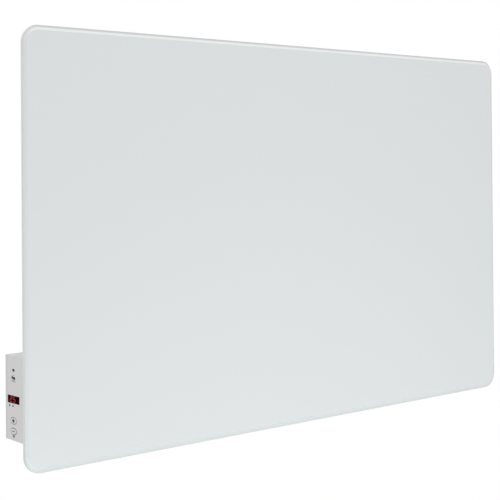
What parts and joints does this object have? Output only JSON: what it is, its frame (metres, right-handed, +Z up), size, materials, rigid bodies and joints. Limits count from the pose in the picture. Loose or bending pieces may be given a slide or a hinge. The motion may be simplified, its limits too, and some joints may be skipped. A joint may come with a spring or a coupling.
{
  "type": "infrared panel heater",
  "caption": "Wall-hung infrared panel heater: a flat white glass panel on a shallow rear casing with hooks and wall rails, and a small side control box with a display and press keys.",
  "frame": {"origin": "on the wall face, midway between the screw slots of the wall rails", "axes": "+X to the right as seen from the front, along the panel's length; +Y into the wall; +Z up"},
  "size_m": [1, 0.052, 0.6],
  "materials": {
    "glass": "white enamelled, polished",
    "film": "satin",
    "track": "satin",
    "foil": "bright",
    "insulation": "matte",
    "bead": "matte",
    "casing": "satin white",
    "galvanised": "zinc plated",
    "rivet": "satin",
    "screw": "zinc plated",
    "brass": "satin",
    "housing": "fine matte",
    "cover": "fine matte",
    "lens": "gloss, dark red",
    "module": "matte",
    "key": "fine matte",
    "plunger": "matte",
    "switch": "matte",
    "lamp": "gloss",
    "window": "gloss, dark",
    "sensor": "gloss",
    "board": "satin",
    "component": "satin",
    "terminal": "satin",
    "bush": "matte",
    "ceramic": "unglazed",
    "cutout": "matte",
    "lead": "silicone, satin",
    "earth": "silicone, satin",
    "gland": "fine matte",
    "seal": "matte"
  },
  "bodies": {
    "wall_mount": {"wall_rail_upper": "galvanised", "wall_rail_lower": "galvanised"},
    "heater": {"base_film": "film", "board_screws": "screw", "bonding_bead": "bead", "ceramic_screw": "screw", "ceramic_terminal": "ceramic", "control_board": "board", "control_housing": "housing", "control_rear_cover": "cover", "cover_film": "film", "cover_screws": "screw", "display_lens": "lens", "display_module": "module", "earth_lead": "earth", "earth_nut": "brass", "earth_stud": "brass", "element_leads": "lead", "gland_body": "gland", "gland_locknut": "gland", "gland_nut": "gland", "gland_seal": "seal", "glass_panel": "glass", "hanging_hook_lower_left": "galvanised", "hanging_hook_lower_right": "galvanised", "hanging_hook_upper_left": "galvanised", "hanging_hook_upper_right": "galvanised", "heating_track": "track", "hook_rivets": "rivet", "housing_nuts": "screw", "housing_screws": "screw", "insulation_board": "insulation", "key_switches": "switch", "lead_terminal": "terminal", "mains_terminal": "terminal", "overheat_cutouts": "cutout", "power_relay": "component", "rear_casing": "casing", "reflector_foil": "foil", "room_sensor": "sensor", "sensor_window": "window", "standby_lamp": "lamp", "status_lamps": "lamp", "supply_leads": "lead", "supply_module": "component", "wire_bush": "bush"},
    "plus_button": {"plus_key": "key", "plus_plunger": "plunger"},
    "minus_button": {"minus_key": "key", "minus_plunger": "plunger"}
  },
  "joints": [
    {"name": "hang_slide", "type": "slide", "parent": "wall_mount", "child": "heater", "axis": [0, 0, 1], "range_m": [0, 0.012]},
    {"name": "plus_press", "type": "slide", "parent": "heater", "child": "plus_button", "axis": [1, 0, 0], "range_m": [0, 0.0005], "stiffness_N_per_m": 2000, "springref_m": -0.0005},
    {"name": "minus_press", "type": "slide", "parent": "heater", "child": "minus_button", "axis": [1, 0, 0], "range_m": [0, 0.0005], "stiffness_N_per_m": 2000, "springref_m": -0.0005}
  ]
}
